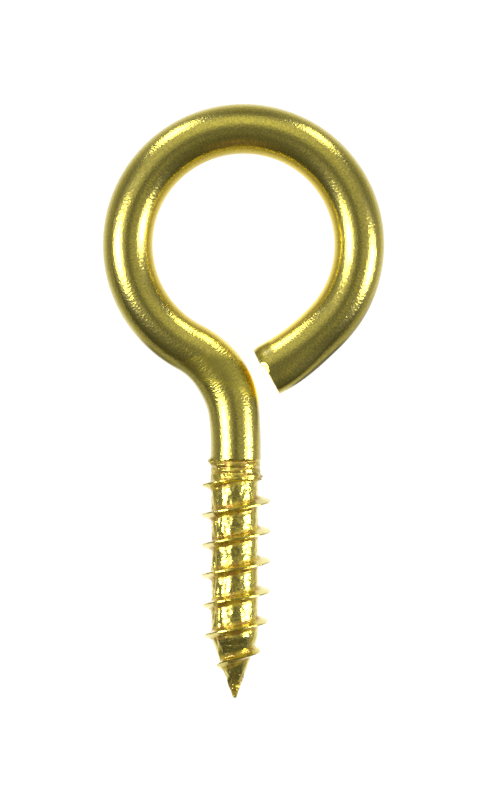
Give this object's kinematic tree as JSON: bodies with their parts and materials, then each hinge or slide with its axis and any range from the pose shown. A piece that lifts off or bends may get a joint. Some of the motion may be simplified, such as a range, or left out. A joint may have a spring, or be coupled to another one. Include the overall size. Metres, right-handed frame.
{
  "type": "screw eye",
  "caption": "Open ring bent from round wire on a straight shank, with a coarse wood-screw thread and a conical point.",
  "frame": {"origin": "centre of the ring, in the middle of the wire's thickness", "axes": "+Z is square to the ring; the shank runs down along -Y to the point; +X points to the side of the ring's free end"},
  "size_m": [0.0236, 0.0499, 0.0058],
  "materials": {
    "brass_plating": "bright brass plating over drawn steel wire, with a fine orange-peel grain"
  },
  "bodies": {
    "root": {"screw_eye": "brass_plating"}
  },
  "joints": []
}
